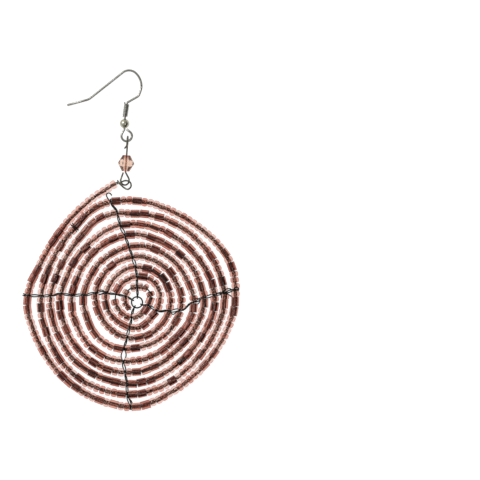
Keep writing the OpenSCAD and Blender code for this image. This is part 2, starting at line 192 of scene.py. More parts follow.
# The string's bare end, from its last bead through the link's lower eye and back
END_ROUTE = [
    (-4.5, 17.55, 1.325), (-4.1, 17.5, 1.3), (-3.3, 16.9, 1.25), (-2.3, 16.0, 1.3), (-1.2, 15.5, 1.7),
    (-0.35, 16.05, 2.15), (-0.15, 16.9, 2.4), (-0.6, 17.75, 2.45), (-1.8, 18.1, 2.45),
    (-3.0, 17.7, 2.45), (-3.75, 17.3, 2.1), (-4.15, 17.7, 1.9),
]

# Order of the beads on the string, a word for each stretch between two ties, from the innermost:
# o is a round bead, = a cut tube, and a dot a bare stretch of wire. Charted.
ORDER = """
    ooo o.o
    oo.o= =oo oooo. =ooo
    =oooooo =o=oo =ooo=o oooooo
    o====ooo o=oo==o oooooo=oo o=oo=ooo
    oooooo=oo=oo o=ooooooo=o =ooo===o= =oo=ooo=oo
    =oo=ooooooo=oo =====o=oooooo ooo==oooo=o=o ==oooo=o==o
    =oo===o=ooooo=o =oooooo=ooooo===o oo=o=oo=oo=o==o o=oo===oooooo
    =o=o=o=ooo=oooo==o o===o=oo==ooo==== o==o===oooo=o==oo oo=o=oooo====oo
    oo==o=o=ooooooo=ooo=o o=oooooooo=ooooo=oooo== =oooooo=ooo==oo==o=o oo==ooo=ooo==o=oo
    =oo=oooooooooooooooo=o=ooo o==oooooo=o=oooooooooo== oo=o=ooo===oooo=oooooo== oo==oooo==oooooooooooo
""".split()
PITCH = {"o": 1.8, "=": 2.8, ".": 1.0}
# How near to a spoke's middle the beads come, how near to the string's end a tie no longer counts, in
# turns, and over what length the first beads grow
TIE_ROOM = 0.28
LAST_TIE_ROOM = 0.005
FIRST_STRETCH = 3.2


def unit(v):
    return v / v.length


def mix(a, b, f):
    return a + (b - a) * f


def turned(v):
    """A quarter turn to the left."""
    return Vector((-v[1], v[0]))


def cosd(a):
    return math.cos(math.radians(a))


def sind(a):
    return math.sin(math.radians(a))


def smooth(a, b, c, d, f):
    """Smooth curve through four values, from the second to the third."""
    return b + 0.5 * f * ((c - a) + f * ((2 * a - 5 * b + 4 * c - d) + f * (3 * (b - c) + d - a)))


def string_r(t):
    """Distance from the hub to the string's middle, t in turns."""
    s = (t - FIRST_TURN) * DIRECTIONS
    i = math.floor(s)
    return smooth(RADII[i - 1], RADII[i], RADII[i + 1], RADII[i + 2], s - i)


def string_at(t):
    """The string's middle in the disc, t in turns clockwise from the top."""
    return HUB + string_r(t) * Vector((sind(360 * t), cosd(360 * t)))


def way_at(t, near):
    """The string's direction there."""
    return unit(string_at(t + near) - string_at(t - near))


def outward_at(t):
    """Away from the hub, square to the string."""
    return turned(way_at(t, TIE_NEAR))


def spoke_ties(spoke):
    """Where a spoke crosses the string, in turns."""
    return [spoke["first"] + i + d / 360 for i, d in enumerate(spoke["clock"])]


def placed(x, y, z):
    """A point of the source's chart, in metres in the shared frame."""
    return (Vector((x, y, z)) + CENTRING) * MM


# Mesh helpers

def new_piece(name, bm, materials, slot, *nodes):
    """Makes an object of a bmesh, on the part's one body, that stands for the CAD nodes named."""
    mesh = bpy.data.meshes.new(name)
    bm.to_mesh(mesh)
    bm.free()
    piece = bpy.data.objects.new(name, mesh)
    bpy.context.scene.collection.objects.link(piece)
    for m in materials:
        mesh.materials.append(m)
    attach(piece, "root")
    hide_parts(*nodes)


def add_rings(bm, rings, loop=False):
    """Skins rings of points, closed into a loop or with capped ends.

    Returns the vertices, ring by ring, and the faces.
    """
    made = [[bm.verts.new(p) for p in ring] for ring in rings]
    count = len(made[0])
    pairs = list(zip(made, made[1:]))
    if loop:
        pairs.append((made[-1], made[0]))
    faces = []
    for a, b in pairs:
        for k in range(count):
            n = (k + 1) % count
            faces.append(bm.faces.new((a[k], a[n], b[n], b[k])))
    if not loop:
        faces.append(bm.faces.new(list(reversed(made[0]))))
        faces.append(bm.faces.new(made[-1]))
    for f in faces:
        f.smooth = True
    return made, faces


def frames_along(points, side):
    """Two directions across the path at each point, turning with it as little as possible."""
    result = []
    x = None
    last = len(points) - 1
    for i in range(last + 1):
        way = unit(points[min(i + 1, last)] - points[max(i - 1, 0)])
        x = way.cross(side) if x is None else x - way * x.dot(way)
        x = unit(x)
        result.append((x, way.cross(x)))
    return result


# A cut end of wire is rounded: how long that is and how narrow it gets, in shares of the wire's radius
CUT_LENGTH = 0.12
CUT_R = 0.8
# How far apart the points of a smoothed wire are, how near two points may be, the angle of each step
# round a bend, and the corners of an eye
WIRE_STEP = 0.12
LEAST_STEP = 0.02
BEND_STEP = 6.0
EYE_CORNERS = 3


def add_tube(bm, points, r, sides, side=UP):
    """Sweeps a round section of radius r along points, with slightly rounded cut ends."""
    start = unit(points[1] - points[0]) * r * CUT_LENGTH
    stop = unit(points[-1] - points[-2]) * r * CUT_LENGTH
    points = [points[0], points[0] + start] + points[1:-1] + [points[-1] - stop, points[-1]]
    radii = [r * CUT_R] + [r] * (len(points) - 2) + [r * CUT_R]
    angles = [math.tau * k / sides for k in range(sides)]
    rings = []
    for p, radius, (x, y) in zip(points, radii, frames_along(points, side)):
        rings.append([p + radius * (math.cos(a) * x + math.sin(a) * y) for a in angles])
    add_rings(bm, rings)


def resampled(points, step):
    """Points a step apart along a smooth curve through the given ones."""
    fine = []
    n = len(points)
    for i in range(n - 1):
        a, b, c, d = points[max(i - 1, 0)], points[i], points[i + 1], points[min(i + 2, n - 1)]
        count = max(1, math.ceil((c - b).length / step))
        for k in range(count):
            fine.append(smooth(a, b, c, d, k / count))
    fine.append(points[-1])
    return fine


def spaced(points, least=LEAST_STEP):
    """The points that lie more than the least distance beyond the one before."""
    kept = [points[0]]
    for p in points[1:]:
        if (p - kept[-1]).length > least:
            kept.append(p)
    return kept


def bent(route):
    """Points of a wire bent at its corners. Each corner is a point and its bend radius."""
    result = [route[0][0]]
    for i in range(1, len(route) - 1):
        p, radius = route[i]
        a = unit(p - route[i - 1][0])
        b = unit(route[i + 1][0] - p)
        angle = math.acos(max(-1.0, min(1.0, a.dot(b))))
        steps = max(1, math.ceil(math.degrees(angle) / BEND_STEP))
        start = p - a * radius * math.tan(angle / 2)
        inward = unit(b - a * math.cos(angle))
        for k in range(steps + 1):
            turn = angle * k / steps
            result.append(start + radius * (math.sin(turn) * a + (1 - math.cos(turn)) * inward))
    result.append(route[-1][0])
    return result


def eye_corners(centre, r, start_from, to, turn):
    """Corners of a wire's way round an eye, between two points off it: turn is 1 to the left, else -1."""
    a = start_from - centre
    b = to - centre
    start = math.degrees(math.atan2(a[1], a[0]) + turn * math.acos(r / a.length))
    stop = math.degrees(math.atan2(b[1], b[0]) - turn * math.acos(r / b.length))
    sweep = turn * (stop - start) % 360
    found = []
    for i in range(EYE_CORNERS):
        at = start + turn * sweep * (i + 0.5) / EYE_CORNERS
        found.append(centre + r / cosd(sweep / EYE_CORNERS / 2) * Vector((cosd(at), sind(at))))
    return found


# Materials

# Where noise mostly lies, and the sockets of a mix node that take colours
NOISE_REACH = (0.3, 0.7)
MIX_FACTOR, MIX_A, MIX_B, MIX_RESULT = 0, 6, 7, 2


def ranged(tree, value, was, now=(0.0, 1.0)):
    """Stretches one span of a value to another, and holds it there."""
    made = tree.nodes.new("ShaderNodeMapRange")
    for name, number in zip(("From Min", "From Max", "To Min", "To Max"), (*was, *now)):
        made.inputs[name].default_value = number
    tree.links.new(value, made.inputs["Value"])
    return made


class Shader:
    """A node material with a Principled surface, and short calls for its noise and colours."""

    def __init__(self, name, **values):
        self.material = bpy.data.materials.new(name)
        self.material.use_nodes = True
        self.tree = self.material.node_tree
        self.surface = self.tree.nodes["Principled BSDF"]
        for key, value in values.items():
            self.surface.inputs[key.replace("_", " ")].default_value = value

    def node(self, kind, **inputs):
        made = self.tree.nodes.new(kind)
        for key, value in inputs.items():
            made.inputs[key].default_value = value
        return made

    def link(self, a, b):
        self.tree.links.new(a, b)

    def place(self):
        """Coordinates in the object's own space, in metres."""
        return self.node("ShaderNodeTexCoord").outputs["Object"]

    def place_y(self):
        parts = self.node("ShaderNodeSeparateXYZ")
        self.link(self.place(), parts.inputs["Vector"])
        return parts.outputs["Y"]

    def noise(self, scale, detail=3.0, roughness=0.5):
        """Noise in the object's own space, with scale in repeats a millimetre."""
        made = self.node("ShaderNodeTexNoise", Scale=scale / MM, Detail=detail, Roughness=roughness)
        self.link(self.place(), made.inputs["Vector"])
        return made.outputs["Fac"]

    def attribute(self, name):
        made = self.node("ShaderNodeAttribute")
        made.attribute_name = name
        return made.outputs["Fac"]

    def ramp(self, fac, stops):
        made = self.node("ShaderNodeValToRGB")
        elements = made.color_ramp.elements
        while len(elements) < len(stops):
            elements.new(0.5)  # its place is set below
        for e, (at, colour) in zip(elements, stops):
            e.position = at
            e.color = (*colour, 1.0)
        self.link(fac, made.inputs["Fac"])
        return made.outputs["Color"]

    def spread(self, fac, low, high):
        """Noise stretched to reach from low to high."""
        return ranged(self.tree, fac, NOISE_REACH, (low, high)).outputs["Result"]

    def blend(self, fac, a, b):
        """One colour mixed into another. The second is a socket or a plain colour."""
        made = self.node("ShaderNodeMix")
        made.data_type = "RGBA"
        self.link(fac, made.inputs[MIX_FACTOR])
        self.link(a, made.inputs[MIX_A])
        if isinstance(b, tuple):
            made.inputs[MIX_B].default_value = (*b, 1.0)
        else:
            self.link(b, made.inputs[MIX_B])
        return made.outputs[MIX_RESULT]

    def inside_crystal(self):
        """One along the crystal's length on the link, and nothing beyond its ends."""
        near = self.node("ShaderNodeMath")
        near.operation = "COMPARE"
        value, middle, reach = near.inputs
        self.link(self.place_y(), value)
        middle.default_value = CRYSTAL_Y * MM
        reach.default_value = CRYSTAL_LEN / 2 * MM
        return near.outputs["Value"]

    def bump(self, fac, height_mm):
        made = self.node("ShaderNodeBump", Distance=height_mm * MM)
        self.link(fac, made.inputs["Height"])
        self.link(made.outputs["Normal"], self.surface.inputs["Normal"])


# Tarnish on metal: where its patches are dark and light, how its roughness varies, and how much finer
# the wear and the dents are than the patches
PATCH_STOPS = (0.35, 0.65)
WEAR_REACH = (0.85, 1.25)
WEAR_FINER = 4
DENTS_FINER = 3


def metal(name, dark, light, roughness, grain=1.2, bump_mm=0.003, in_crystal=None):
    """Darkened silver or steel with patchy tarnish and soft dents, and a colour seen through crystal."""
    s = Shader(name, Metallic=1.0)
    dark_to, light_from = PATCH_STOPS
    colour = s.ramp(s.noise(grain, detail=4.0, roughness=0.6), [(dark_to, dark), (light_from, light)])
    if in_crystal:
        colour = s.blend(s.inside_crystal(), colour, in_crystal)
    s.link(colour, s.surface.inputs["Base Color"])
    low, high = WEAR_REACH
    wear = s.spread(s.noise(grain * WEAR_FINER), roughness * low, roughness * high)
    s.link(wear, s.surface.inputs["Roughness"])
    s.bump(s.noise(grain * DENTS_FINER, detail=4.0, roughness=0.65), bump_mm)
    return s.material


# How often the glass ripples in a millimetre, and how often the lining's wear and dents come, how rough
# the wear leaves it, and how deep the dents are in millimetres
RIPPLES = 0.9
LINING_WEAR = 1.5
LINING_ROUGHNESS = (0.25, 0.5)
LINING_DENTS = 2.5
LINING_DENT_DEPTH = 0.04


def tinted_glass(name, ior, coat, shades, edge_shades, bump_mm):
    """Clear glass, a little different from bead to bead, with painted shade that darkens a bead towards
    its sides.
    """
    s = Shader(
        name, Roughness=0.02, IOR=ior, Transmission_Weight=1.0, Coat_Weight=coat, Coat_Roughness=0.08,
    )
    shade = s.attribute("bead_shade")
    # Painted shade: a bead's sides across the string, and a tube's cut ends, turn darker
    tint_and_edge_shade = s.blend(s.attribute("bead_edge_shade"), s.ramp(shade, shades), s.ramp(shade, edge_shades))
    s.link(tint_and_edge_shade, s.surface.inputs["Base Color"])
    s.bump(s.noise(RIPPLES, detail=2.0), bump_mm)
    return s.material


def lining(name, grain, mottle_and_glint_reach, facet_shading, stops):
    """Foil on the bore's wall: mottled dark bronze with bright crumbs of painted glint, and painted
    highlights and shade in stripes along its facets.
    """
    s = Shader(name, Metallic=0.7)
    # Mottled bronze, whose bright end is painted glints of light on the foil
    mottle_and_glints = s.spread(s.noise(grain, detail=4.0, roughness=0.75), 0.5 - mottle_and_glint_reach, 0.5 + mottle_and_glint_reach)
    # Painted highlight or shade of each facet, in a stripe along the bore
    facet_shadings = ranged(s.tree, s.attribute("facet_shading"), (0.0, 1.0), (-facet_shading, facet_shading))
    both = s.node("ShaderNodeMath")
    both.operation = "ADD"
    s.link(mottle_and_glints, both.inputs[0])
    s.link(facet_shadings.outputs["Result"], both.inputs[1])
    s.link(s.ramp(both.outputs["Value"], stops), s.surface.inputs["Base Color"])
    wear = s.spread(s.noise(LINING_WEAR, detail=2.0), *LINING_ROUGHNESS)
    s.link(wear, s.surface.inputs["Roughness"])
    s.bump(s.noise(LINING_DENTS, detail=3.0, roughness=0.7), LINING_DENT_DEPTH)
    return s.material


# The crystal's peach tint and the brown of its painted shade, and where that painted shade begins and ends
# beyond its middle
CRYSTAL_PEACH = (0.95, 0.68, 0.55)
CRYSTAL_SHADE_BROWN = (0.50, 0.17, 0.12)
CRYSTAL_SHADE_SPAN = (0.9, 2.1)


def crystal_glass():
    """Clear peach crystal, with painted shade that makes its end towards the hook darker and browner."""
    s = Shader("crystal_glass", Roughness=0.0, IOR=1.5, Transmission_Weight=0.93)
    span = [(CRYSTAL_Y + beyond) * MM for beyond in CRYSTAL_SHADE_SPAN]
    # Painted shade: darker and browner towards the hook
    shade_depth = ranged(s.tree, s.place_y(), span).outputs["Result"]
    s.link(s.ramp(shade_depth, [(0.0, CRYSTAL_PEACH), (1.0, CRYSTAL_SHADE_BROWN)]), s.surface.inputs["Base Color"])
    return s.material


HOOK_METAL = metal(
    "hook_metal", dark=(0.44, 0.435, 0.40), light=(0.60, 0.595, 0.555), roughness=0.22, grain=0.4,
    bump_mm=0.001,
)
BALL_METAL = metal(
    "ball_metal", dark=(0.68, 0.66, 0.52), light=(0.82, 0.80, 0.64), roughness=0.06, grain=0.5,
    bump_mm=0.001,
)
LINK_METAL = metal(
    "link_metal", dark=(0.20, 0.20, 0.15), light=(0.34, 0.335, 0.27), roughness=0.16, grain=0.5,
    bump_mm=0.002, in_crystal=(0.70, 0.27, 0.19),
)
DARK_WIRE = metal(
    "dark_wire", dark=(0.018, 0.02, 0.018), light=(0.06, 0.066, 0.058), roughness=0.3, grain=0.8,
    bump_mm=0.002,
)
STRING_WIRE = metal("string_wire", dark=(0.035, 0.015, 0.013), light=(0.11, 0.065, 0.05), roughness=0.4)
# The second ramp of each glass is painted shade for a bead's sides and a tube's cut ends
BEAD_GLASS = tinted_glass(
    "bead_glass", ior=1.2, coat=0.4,
    shades=[(0.0, (0.74, 0.35, 0.28)), (0.5, (0.84, 0.50, 0.43)), (1.0, (0.92, 0.68, 0.62))],
    edge_shades=[(0.0, (0.60, 0.24, 0.19)), (0.5, (0.71, 0.34, 0.29)), (1.0, (0.80, 0.48, 0.43))],
    bump_mm=0.02,
)
TUBE_GLASS = tinted_glass(
    "tube_glass", ior=1.42, coat=0.3,
    shades=[(0.0, (0.60, 0.22, 0.16)), (0.5, (0.76, 0.33, 0.25)), (1.0, (0.88, 0.48, 0.38))],
    edge_shades=[(0.0, (0.22, 0.045, 0.035)), (0.5, (0.36, 0.10, 0.075)), (1.0, (0.55, 0.22, 0.17))],
    bump_mm=0.015,
)
# The brightest stop of each lining is painted glint; its stripes are painted facet highlights and shade
BEAD_LINING = lining(
    "bead_lining", grain=2.7, mottle_and_glint_reach=0.3, facet_shading=0.04,
    stops=[(0.4, (0.035, 0.018, 0.013)), (0.49, (0.22, 0.12, 0.09)), (0.585, (1.0, 0.80, 0.70))],
)
TUBE_LINING = lining(
    "tube_lining", grain=2.4, mottle_and_glint_reach=0.12, facet_shading=0.15,
    stops=[
        (0.36, (0.035, 0.015, 0.015)), (0.47, (0.21, 0.095, 0.085)), (0.57, (0.56, 0.33, 0.29)),
        (0.66, (1.0, 0.80, 0.74)),
    ],
)
CRYSTAL_GLASS = crystal_glass()


# Beads

# Reaches, in millimetres, of how much smaller a round bead is than the string, of the room left after a
# bead, and of how its hole varies. A tube's radius and its hole vary outright.
ROUND_LESS = (0.015, 0.05)
ROUND_ROOM = (-0.02, 0.12)
ROUND_BORE = 0.52
ROUND_BORE_PLAY = (-0.04, 0.04)
TUBE_R = (1.18, 1.28)
TUBE_ROOM = (0.02, 0.08)
TUBE_BORE = (0.42, 0.68)
# A round bead's hole also drifts along the string, in two slow waves
DRIFT_R = 0.05
DRIFT_WAVES = ((0.11, 0.0), (0.047, 1.0))
# How far a bead turns on the string, in radians, and lies inward and outward of it. In the last turn it
# hardly moves outward.
SWAY = 0.07
PLAY = (0.12, 0.12)
LAST_PLAY = (0.15, 0.01)
LAST_TURNS = 1.1
# Sides of a bead, facets of its lining, how far to the side its painted shade starts, and the rings of
# its outer section at each end that take the painted shade in full. The painted shade deepens over a set
# width.
ROUND_MAKE = {"sides": 20, "facets": 10, "edge_shade_from": 0.76, "shaded_end_rings": 0}
TUBE_MAKE = {"sides": 24, "facets": 12, "edge_shade_from": 0.7, "shaded_end_rings": 3}
EDGE_SHADE_WIDTH = 0.12
# The round bead's outline, in shares of its radius or half length: the height of its shoulder, how square
# it is along and outward, where its dimpled face and the places along its hole lie, and its steps
SHOULDER = 0.28
SQUARE_ALONG = 0.88
SQUARE_OUT = 0.8
ROUND_FACE = 0.97
HOLE_SHARES = (0.96, 0.5, 0.0, -0.5, -0.96)
ROUND_STEPS = 12
# The cut tube's outline, in millimetres: its bevelled edge, how far its cut face reaches in, and the
# first step into its hole. The bevel bulges to a point back from the corner, in shares of its edge.
TUBE_EDGE = 0.08
TUBE_BULGE = (0.4, 0.25)
TUBE_FACE = 0.25
TUBE_HOLE_STEP = 0.05
# Steps of the table that tells turns from distance along the string
TABLE_STEPS = 12000
# Where a bead's lining comes among its materials
LINING_INDEX = 1


def string_table():
    """Places along the string: distance along it in millimetres against turns."""
    turns = [WIRE_START + (STRING_END - WIRE_START) * i / TABLE_STEPS for i in range(TABLE_STEPS + 1)]
    along = [0.0]
    last = string_at(turns[0])
    for t in turns[1:]:
        p = string_at(t)
        along.append(along[-1] + (p - last).length)
        last = p
    return turns, along


TURNS, ALONG = string_table()


def turn_at(distance):
    """Turns of the place that lies this far along the string."""
    lo, hi = 0, len(ALONG) - 1
    while hi - lo > 1:
        mid = (lo + hi) // 2
        if ALONG[mid] < distance:
            lo = mid
        else:
            hi = mid
    span = ALONG[hi] - ALONG[lo]
    return TURNS[lo] + (TURNS[hi] - TURNS[lo]) * ((distance - ALONG[lo]) / span if span else 0.0)


def distance_at(t):
    """Distance along the string to a place given in turns."""
    s = (t - WIRE_START) / (STRING_END - WIRE_START) * (len(TURNS) - 1)
    i = min(int(s), len(TURNS) - 2)
    return ALONG[i] + (ALONG[i + 1] - ALONG[i]) * (s - i)


def bead_places():
    """Kind, middle and length of each bead, by its distance along the string."""
    ties = sorted(t for spoke in SPOKES.values() for t in spoke_ties(spoke))
    stops = [STRING_START] + [t for t in ties if t < STRING_END - LAST_TIE_ROOM] + [STRING_END]
    found = []
    for n, word in enumerate(ORDER):
        start = distance_at(stops[n]) + (0.0 if n == 0 else TIE_ROOM)
        stop = distance_at(stops[n + 1]) - (0.0 if n == len(ORDER) - 1 else TIE_ROOM)
        scale = (stop - start) / sum(PITCH[c] for c in word)
        at = start
        for c in word:
            length = PITCH[c] * scale
            if c != ".":
                found.append((c, at + length / 2, length))
            at += length
    return found


def bead_frame(t):
    """Middle of the string there, and the ways along and across it."""
    p = string_at(t)
    along = Vector((*way_at(t, BEAD_NEAR), 0.0))
    return Vector((*p, DISC_Z)), along, UP.cross(along)


def round_profile(r, half, bore):
    """Distance along and from the middle of a round bead's section: its outside, then its bore."""
    shoulder = mix(bore, r, SHOULDER)
    face = mix(bore, shoulder, 0.5)
    outer = [(-half * ROUND_FACE, face)]
    for k in range(ROUND_STEPS + 1):
        a = math.pi * k / ROUND_STEPS
        along = -half * math.copysign(abs(math.cos(a)) ** SQUARE_ALONG, math.cos(a))
        outer.append((along, shoulder + (r - shoulder) * max(math.sin(a), 0.0) ** SQUARE_OUT))
    outer.append((half * ROUND_FACE, face))
    inner = [(half * share, bore) for share in HOLE_SHARES]
    return outer, inner


def tube_profile(r, half, bore):
    """The same for a cut tube, with sharp ends a little chipped back at the rim."""
    face = r - TUBE_FACE
    edge = TUBE_EDGE
    back, under = TUBE_BULGE
    bevel = [(half, r - edge), (half - edge * back, r - edge * under), (half - edge, r)]
    front = [(-x, y) for x, y in bevel]
    outer = [(-half, face)] + front + [(0.0, r)] + list(reversed(bevel)) + [(half, face)]
    deep = half - TUBE_HOLE_STEP
    inner = [(x, bore) for x in (half, deep, 0.0, -deep, -half)]
    return outer, inner


def add_bead(bm, layers, middle, axes, profile, sides, facets, edge_shade_from, shaded_end_rings):
    """One bead: glass outside, with painted shade at its sides and cut ends, and its lining in the bore
    with painted highlights and shade on its facets.
    """
    shade_layer, edge_shade_layer, facet_shading_layer = layers
    along, across, up = axes
    outer, inner = profile
    spin = RANDOM.random() * math.tau
    shade = RANDOM.random()
    turns = [spin + math.tau * k / sides for k in range(sides)]
    # Painted shade, strongest on the bead's sides across the string
    edge_shades = [min(max((abs(math.cos(a)) - edge_shade_from) / EDGE_SHADE_WIDTH, 0.0), 1.0) for a in turns]
    outward = [across * math.cos(a) + up * math.sin(a) for a in turns]
    rings = [[(middle + along * x + way * r) * MM for way in outward] for x, r in outer + inner]
    made, faces = add_rings(bm, rings, loop=True)
    # A painted highlight or shade for each facet of the lining, at random
    facet_shadings = [RANDOM.random() for _ in range(facets)]
    for i in range(len(outer) - 1, len(rings)):
        for k in range(sides):
            face = faces[i * sides + k]
            face.material_index = LINING_INDEX
            face[facet_shading_layer] = facet_shadings[k * facets // sides]
    # A tube's cut ends take the painted shade in full
    for i, ring in enumerate(made):
        at_end = i < shaded_end_rings or i >= len(outer) - shaded_end_rings
        for v, edge_shade in zip(ring, edge_shades):
            v[shade_layer] = shade
            v[edge_shade_layer] = 1.0 if at_end else edge_shade


def tube_bead(length):
    """Section of a cut tube with its own size and hole."""
    r = RANDOM.uniform(*TUBE_R)
    half = (length - RANDOM.uniform(*TUBE_ROOM)) / 2
    return tube_profile(r, half, RANDOM.uniform(*TUBE_BORE))


def round_bead(length, distance):
    """Section of a round bead with its own size and hole. The first on the string are smaller."""
    grown = min((distance - distance_at(STRING_START)) / FIRST_STRETCH, 1.0)
    drift = sum(math.sin(distance * often + late) for often, late in DRIFT_WAVES)
    r = mix(BEAD_D * FIRST_BEAD, BEAD_D / 2, grown) - RANDOM.uniform(*ROUND_LESS)
    half = (length - RANDOM.uniform(*ROUND_ROOM)) / 2
    return round_profile(r, half, ROUND_BORE + DRIFT_R * drift + RANDOM.uniform(*ROUND_BORE_PLAY))


def string_bead(bm, layers, kind, distance, length):
    """Puts one bead on the string, turned and moved a little within the slack of its hole."""
    t = turn_at(distance)
    middle, along, across = bead_frame(t)
    sway = Matrix.Rotation(RANDOM.uniform(-SWAY, SWAY), 3, UP)
    inward, outward = PLAY if t < STRING_END - LAST_TURNS else LAST_PLAY
    middle = middle + CENTRING + across * RANDOM.uniform(-inward, outward)
    axes = (sway @ along, sway @ across, UP)
    if kind == "=":
        add_bead(bm, layers, middle, axes, tube_bead(length), **TUBE_MAKE)
    else:
        add_bead(bm, layers, middle, axes, round_bead(length, distance), **ROUND_MAKE)


def make_beads():
    places = bead_places()
    half_way = len(places) // 2
    batches = {}
    for n, place in enumerate(places):
        round_batch = "round_beads_inner" if n < half_way else "round_beads_outer"
        batches.setdefault("cut_tubes" if place[0] == "=" else round_batch, []).append(place)
    for batch, beads in batches.items():
        bm = bmesh.new()
        floats = bm.verts.layers.float
        # Per bead: its own shade at random, its painted edge shade, and its lining's painted facet
        # highlights and shade
        layers = floats.new("bead_shade"), floats.new("bead_edge_shade"), bm.faces.layers.float.new("facet_shading")
        for place in beads:
            string_bead(bm, layers, *place)
        bm.normal_update()
        looks = [TUBE_GLASS, TUBE_LINING] if batch == "cut_tubes" else [BEAD_GLASS, BEAD_LINING]
        new_piece(batch, bm, looks, "bead_glass", "bead_string")


# The string's wire and its wraps

# How thin the string's wire is beside the source's, and its steps
STRING_WIRE_SHARE = 0.8
STRING_WIRE_STEPS = 1400
# A wrap: where it is in turns, its radius, its wire, its arc in degrees and its strands. One crosses the
# outer string, and one closes its end.
CROSS_WRAP = {"t": 7.888, "r": BEAD_D / 2 + 0.05, "wire_d": 0.34, "arc": (-30, 210), "strands": 3}
END_WRAP = {"t": 8.975, "r": 0.5, "wire_d": 0.3, "arc": (-90, 270), "strands": 2}
# Strands lie this close, in shares of their wire, and lean by turns this far along the string
WRAP_PITCH = 0.95
WRAP_LEANS = (0.3, -0.1)
WRAP_STEPS = 24


def add_wrap(bm, t, r, wire_d, arc, strands):
    """A few strands side by side over the string, each an arc across it."""
    way = way_at(t, BEAD_NEAR)
    out = outward_at(t)
    for n in range(strands):
        at = string_at(t) + way * wire_d * WRAP_PITCH * (n - (strands - 1) / 2)
        lean = WRAP_LEANS[n % 2]
        points = []
        for k in range(WRAP_STEPS + 1):
            a = mix(*arc, k / WRAP_STEPS)
            flat = at + out * r * cosd(a) + way * lean * cosd(a)
            points.append(placed(*flat, DISC_Z + r * sind(a)))
        add_tube(bm, points, wire_d / 2 * MM, sides=8, side=Vector((*way, 0.0)))


def make_string_wire():
    bm = bmesh.new()
    points = []
    for i in range(STRING_WIRE_STEPS + 1):
        t = WIRE_START + (STRING_END - WIRE_START) * i / STRING_WIRE_STEPS
        points.append(placed(*string_at(t), DISC_Z))
    points.append(placed(*END_ROUTE[0]))
    add_tube(bm, points, STRING_WIRE_D / 2 * MM * STRING_WIRE_SHARE, sides=8)
    add_wrap(bm, **CROSS_WRAP)
    add_wrap(bm, **END_WRAP)
    new_piece("string_wire", bm, [STRING_WIRE], "dark_wire", "bead_string")


# Spokes

# The strands look thinner than they are between the beads, so they are drawn a little thicker
STRAND_LOOK_D = 0.385
# Half the height between a spoke's strands at the hub ring and at a tie
RING_HALF = HUB_WIRE_D / 2 + STRAND_D / 2 + CLEAR
TIE_HALF = NECK_D / 2 + STRAND_D / 2 + CLEAR
# Steps of a strand from tie to tie, and of its fold round the hub ring in degrees
STRAND_STEPS = 12
FOLD_STEP = 15


def crossing(p, q, way_p, way_q, f):
    """A smooth way from one tie to the next, square to the string at both."""
    span = (q - p).length
    return (p * (1 + f * f * (2 * f - 3)) + q * f * f * (3 - 2 * f)
            + span * (way_p * f * (1 - f) * (1 - f) - way_q * f * f * (1 - f)))


def strand(spoke, ends, which):
    """Points of one of a spoke's two strands, from the ring outward."""
    ties = spoke_ties(spoke)
    out = Vector((sind(spoke["ring_clock"]), cosd(spoke["ring_clock"])))
    at = [HUB_RING_AT + HUB_RING_D / 2 * out] + [string_at(t) for t in ties]
    ways = [out] + [outward_at(t) for t in ties]
    halves = [RING_HALF] + [TIE_HALF] * len(ties)
    last = len(ties)
    sign = which * spoke["above"]
    points = []
    for i in range(last):
        spread = STRAND_SPREAD * spoke["parting"][i] * min((at[i + 1] - at[i]).length / FULL_SPAN, 1.0)
        for k in range(STRAND_STEPS):
            f = k / STRAND_STEPS
            middle = crossing(at[i], at[i + 1], ways[i], ways[i + 1], f)
            aside = turned(unit(mix(ways[i], ways[i + 1], f)))
            p = middle + sign * spread * sind(180 * (i + f)) * aside
            height = sign * mix(halves[i], halves[i + 1], f) * cosd(180 * (i + f))
            points.append(Vector((*p, DISC_Z + height)))
    over = sign * (1 if last % 2 == 0 else -1)
    points.append(Vector((*at[last], DISC_Z + over * TIE_HALF)))
    right = -turned(ways[last])
    tail = [points[-1]]
    for outward, aside, height in (ends[0] if over > 0 else ends[1]):
        p = at[last] + ways[last] * outward + right * aside
        tail.append(Vector((*p, DISC_Z + height)))
    return points + resampled(tail, WIRE_STEP)[1:]


def make_spokes():
    for name, spoke in SPOKES.items():
        inward = -Vector((sind(spoke["ring_clock"]), cosd(spoke["ring_clock"])))
        ring_point = HUB_RING_AT - HUB_RING_D / 2 * inward
        fold = []
        for a in range(FOLD_STEP, 180, FOLD_STEP):
            p = ring_point + inward * RING_HALF * sind(a)
            fold.append(Vector((*p, DISC_Z + spoke["above"] * RING_HALF * cosd(a))))
        over = strand(spoke, SPOKE_ENDS[name], 1)
        under = strand(spoke, SPOKE_ENDS[name], -1)
        route = list(reversed(over)) + fold + under
        bm = bmesh.new()
        points = spaced([placed(*p) for p in route], LEAST_STEP * MM)
        add_tube(bm, points, STRAND_LOOK_D / 2 * MM, sides=10)
        for loose in LOOSE_ENDS.get(name, ()):
            points = resampled([placed(*p) for p in loose], WIRE_STEP * MM)
            add_tube(bm, points, STRAND_D / 2 * MM, sides=8)
        new_piece(name + "_wire", bm, [DARK_WIRE], "dark_wire", name)


# Ear hook, its coil and ball

# What the hook's radius gives up, so that its bow stays within the part's size
HOOK_LESS = 0.012
# The coil: how far down the shank it starts, the room between its turns, its steps a turn, and where its
# cut end is: up from the start, out from the turns, and above the shank's middle
COIL_START = 0.45
COIL_ROOM = 0.01
COIL_STEPS = 24
COIL_TIP = (0.55, 0.1, -0.3)


def on_ball():
    """From the hook's own frame to the shared one: its plane leans about the ball, which rests below."""
    pivot = Matrix.Translation(Vector((*BALL_AT, BALL_D / 2)) + CENTRING)
    lean_x = Matrix.Rotation(math.radians(HOOK_LEAN[0]), 4, "X")
    lean_y = Matrix.Rotation(math.radians(HOOK_LEAN[1]), 4, "Y")
    return Matrix.Scale(MM, 4) @ pivot @ (lean_y @ lean_x) @ Matrix.Translation(Vector((*-BALL_AT, 0)))


